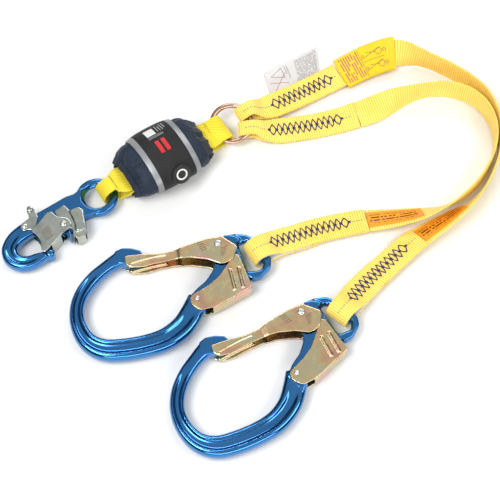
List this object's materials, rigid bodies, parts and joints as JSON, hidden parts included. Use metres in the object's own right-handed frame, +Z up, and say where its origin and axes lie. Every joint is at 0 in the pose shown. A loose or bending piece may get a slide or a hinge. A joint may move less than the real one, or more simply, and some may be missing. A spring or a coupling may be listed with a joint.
{
  "type": "shock absorbing lanyard",
  "caption": "Shock absorbing lanyard: webbing legs with large gated hooks meet at a ring, joined to a covered energy absorber that ends in a self-locking snap hook.",
  "frame": {"origin": "centre of the base of the laid-out lanyard, the free straps left out; the surface it lies on is z = 0", "axes": "+Z up from the surface; +X towards the straps' outer bend; +Y towards the sewn ends at the ring"},
  "size_m": [0.5469, 0.5092, 0.049],
  "materials": {
    "yellow_webbing": "cross-ribbed woven polyester webbing",
    "absorber_webbing": "fine-ribbed woven webbing, lemon yellow",
    "white_pad": "white woven wear pad",
    "orange_label": "printed orange label, satin",
    "yellow_label": "printed yellow label sleeve, satin",
    "white_label": "printed white tag, matte",
    "navy_nylon": "gathered navy nylon cloth",
    "black_band": "smooth black wrap band",
    "grey_reflective": "grey reflective edge strip",
    "black_rubber": "black moulded tab",
    "blue_anodised": "polished blue anodised forging",
    "gold_zinc": "yellow zinc-chromated stamped steel",
    "silver_zinc": "clear zinc-plated stamped steel",
    "rivet_steel": "bright steel rivet",
    "spring_steel": "oiled spring steel",
    "ring_steel": "polished steel ring with a warm tint"
  },
  "bodies": {
    "lanyard": {"absorber_tear_webbing": "absorber_webbing", "absorber_hook_loop": "absorber_webbing", "absorber_ring_loop": "absorber_webbing", "absorber_cover": "navy_nylon", "absorber_cover_hem_1": "navy_nylon", "absorber_cover_hem_2": "navy_nylon", "absorber_label_band": "black_band", "absorber_reflective_strip_1": "grey_reflective", "absorber_reflective_strip_2": "grey_reflective", "absorber_round_tab": "black_rubber", "leg_a_ring_loop": "yellow_webbing", "leg_a_strap": "yellow_webbing", "leg_a_hook_loop": "yellow_webbing", "leg_a_wear_pad": "white_pad", "leg_a_tab_label": "orange_label", "leg_b_ring_loop": "yellow_webbing", "leg_b_strap": "yellow_webbing", "leg_b_hook_loop": "yellow_webbing", "leg_b_wear_pad": "white_pad", "leg_b_tab_label": "orange_label", "leg_a_instruction_sleeve": "yellow_label", "leg_a_warning_tag": "white_label"},
    "ring": {"connector_ring": "ring_steel"},
    "rebar_hook_a": {"rebar_hook_a_frame": "blue_anodised", "rebar_hook_a_gate_rivet": "rivet_steel", "rebar_hook_a_lever_rivet": "rivet_steel", "rebar_hook_a_lever_spring": "spring_steel"},
    "rebar_hook_a_gate_body": {"rebar_hook_a_gate": "gold_zinc", "rebar_hook_a_gate_spring": "spring_steel"},
    "rebar_hook_a_lever_body": {"rebar_hook_a_lock_lever": "gold_zinc"},
    "rebar_hook_b": {"rebar_hook_b_frame": "blue_anodised", "rebar_hook_b_gate_rivet": "rivet_steel", "rebar_hook_b_lever_rivet": "rivet_steel", "rebar_hook_b_lever_spring": "spring_steel"},
    "rebar_hook_b_gate_body": {"rebar_hook_b_gate": "gold_zinc", "rebar_hook_b_gate_spring": "spring_steel"},
    "rebar_hook_b_lever_body": {"rebar_hook_b_lock_lever": "gold_zinc"},
    "snap_hook": {"snap_hook_frame": "blue_anodised", "snap_gate_rivet": "rivet_steel", "snap_latch_rivet": "rivet_steel"},
    "snap_gate_body": {"snap_gate": "silver_zinc", "snap_gate_spring": "spring_steel"},
    "snap_lever_body": {"snap_lock_lever": "silver_zinc"},
    "snap_latch_body": {"snap_latch_arms": "silver_zinc", "snap_latch_roller": "silver_zinc"}
  },
  "joints": [
    {"name": "connector_ring_spin", "type": "hinge", "parent": "lanyard", "child": "ring", "pos_m": [-0.00589, 0.13658, 0.0155], "axis": [0, -0.2079, 0.9781], "continuous": true},
    {"name": "rebar_hook_a_swing", "type": "hinge", "parent": "lanyard", "child": "rebar_hook_a", "pos_m": [0.11088, -0.09557, 0.0123], "axis": [-0.7793, 0.6266, 0], "range_deg": [0, 45]},
    {"name": "rebar_hook_a_gate_hinge", "type": "hinge", "parent": "rebar_hook_a", "child": "rebar_hook_a_gate_body", "pos_m": [0.06801, -0.10102, 0.0123], "axis": [0, 0, 1], "range_deg": [0, 35], "stiffness_Nm_per_rad": 0.12, "springref_deg": -20.05},
    {"name": "rebar_hook_a_lever_squeeze", "type": "hinge", "parent": "rebar_hook_a", "child": "rebar_hook_a_lever_body", "pos_m": [0.06246, -0.16779, 0.0123], "axis": [0, 0, 1], "range_deg": [0, 8], "stiffness_Nm_per_rad": 0.2, "springref_deg": -17.19},
    {"name": "rebar_hook_b_swing", "type": "hinge", "parent": "lanyard", "child": "rebar_hook_b", "pos_m": [0.02409, -0.02498, 0.0123], "axis": [-0.6143, 0.7891, 0], "range_deg": [0, 45]},
    {"name": "rebar_hook_b_gate_hinge", "type": "hinge", "parent": "rebar_hook_b", "child": "rebar_hook_b_gate_body", "pos_m": [-0.01889, -0.02042, 0.0123], "axis": [0, 0, 1], "range_deg": [0, 35], "stiffness_Nm_per_rad": 0.12, "springref_deg": -20.05},
    {"name": "rebar_hook_b_lever_squeeze", "type": "hinge", "parent": "rebar_hook_b", "child": "rebar_hook_b_lever_body", "pos_m": [-0.03965, -0.08413, 0.0123], "axis": [0, 0, 1], "range_deg": [0, 8], "stiffness_Nm_per_rad": 0.2, "springref_deg": -17.19},
    {"name": "snap_hook_swing", "type": "hinge", "parent": "lanyard", "child": "snap_hook", "pos_m": [-0.13683, 0.05222, 0.0114], "axis": [-0.5476, 0.8368, 0], "range_deg": [-4, 50]},
    {"name": "snap_gate_hinge", "type": "hinge", "parent": "snap_hook", "child": "snap_gate_body", "pos_m": [-0.18479, 0.00428, 0.0114], "axis": [0, 0, -1], "range_deg": [0, 35], "stiffness_Nm_per_rad": 0.05, "springref_deg": -20.05},
    {"name": "snap_lever_squeeze", "type": "hinge", "parent": "snap_hook", "child": "snap_lever_body", "pos_m": [-0.18479, 0.00428, 0.0114], "axis": [0, 0, -1], "range_deg": [0, 10], "stiffness_Nm_per_rad": 0.08, "springref_deg": -17.19},
    {"name": "snap_latch_tilt", "type": "hinge", "parent": "snap_hook", "child": "snap_latch_body", "pos_m": [-0.22657, 0.00173, 0.0114], "axis": [0, 0, -1], "range_deg": [0, 4], "stiffness_Nm_per_rad": 0.03, "springref_deg": -17.19}
  ]
}
